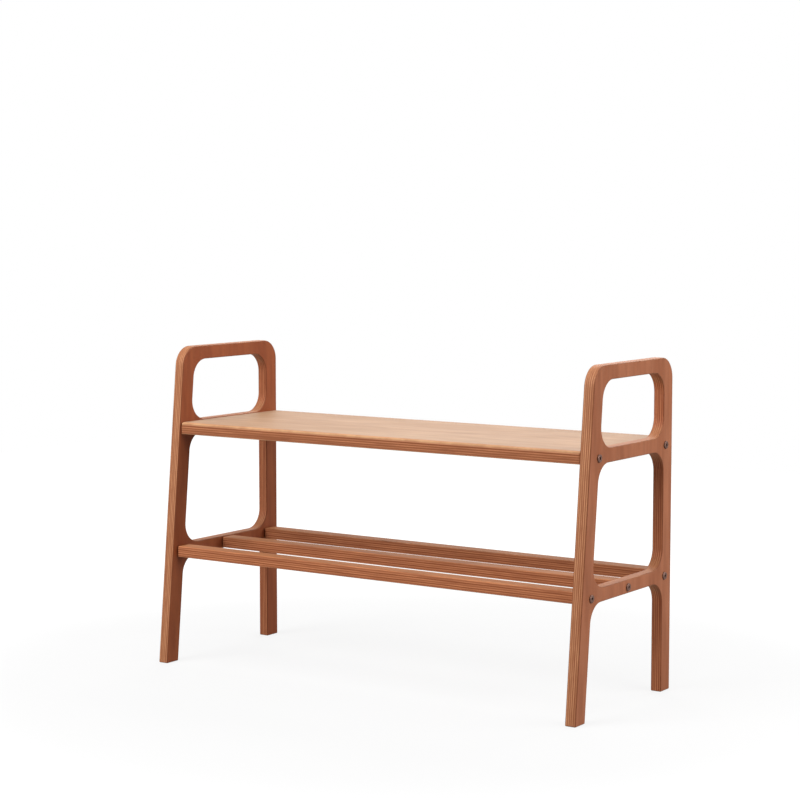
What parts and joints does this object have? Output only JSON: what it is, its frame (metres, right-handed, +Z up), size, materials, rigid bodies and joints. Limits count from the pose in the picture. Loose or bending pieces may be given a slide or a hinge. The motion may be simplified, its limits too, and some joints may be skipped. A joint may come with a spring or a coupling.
{
  "type": "shoe bench",
  "caption": "Plywood shoe bench: leaning side frames with rounded handle openings carry a flat seat board above an open rack of slim rails, held by connector bolts.",
  "frame": {"origin": "on the floor, under the middle of the bench", "axes": "+X along the seat to the right, +Y to the upright back edges, +Z up"},
  "size_m": [0.8048, 0.3054, 0.5295],
  "materials": {
    "frame_plywood": "red-brown stained plywood, satin",
    "seat_plywood": "red-brown stained plywood, satin lacquer",
    "rail_plywood": "red-brown stained plywood, satin",
    "bolt_metal": "dark burnished steel",
    "insert_metal": "plain",
    "dowel_wood": "plain"
  },
  "bodies": {
    "root": {"side_frame_left": "frame_plywood", "side_frame_right": "frame_plywood", "seat_board": "seat_plywood", "rail_front": "rail_plywood", "rail_middle": "rail_plywood", "rail_rear": "rail_plywood", "bolt_seat_front_left": "bolt_metal", "bolt_seat_front_right": "bolt_metal", "bolt_seat_rear_left": "bolt_metal", "bolt_seat_rear_right": "bolt_metal", "bolt_rail_front_left": "bolt_metal", "bolt_rail_front_right": "bolt_metal", "bolt_rail_middle_left": "bolt_metal", "bolt_rail_middle_right": "bolt_metal", "bolt_rail_rear_left": "bolt_metal", "bolt_rail_rear_right": "bolt_metal", "insert_seat_front_left": "insert_metal", "insert_seat_front_right": "insert_metal", "insert_seat_rear_left": "insert_metal", "insert_seat_rear_right": "insert_metal", "insert_rail_front_left": "insert_metal", "insert_rail_front_right": "insert_metal", "insert_rail_middle_left": "insert_metal", "insert_rail_middle_right": "insert_metal", "insert_rail_rear_left": "insert_metal", "insert_rail_rear_right": "insert_metal", "dowel_seat_front_left": "dowel_wood", "dowel_seat_front_right": "dowel_wood", "dowel_seat_rear_left": "dowel_wood", "dowel_seat_rear_right": "dowel_wood"}
  },
  "joints": []
}
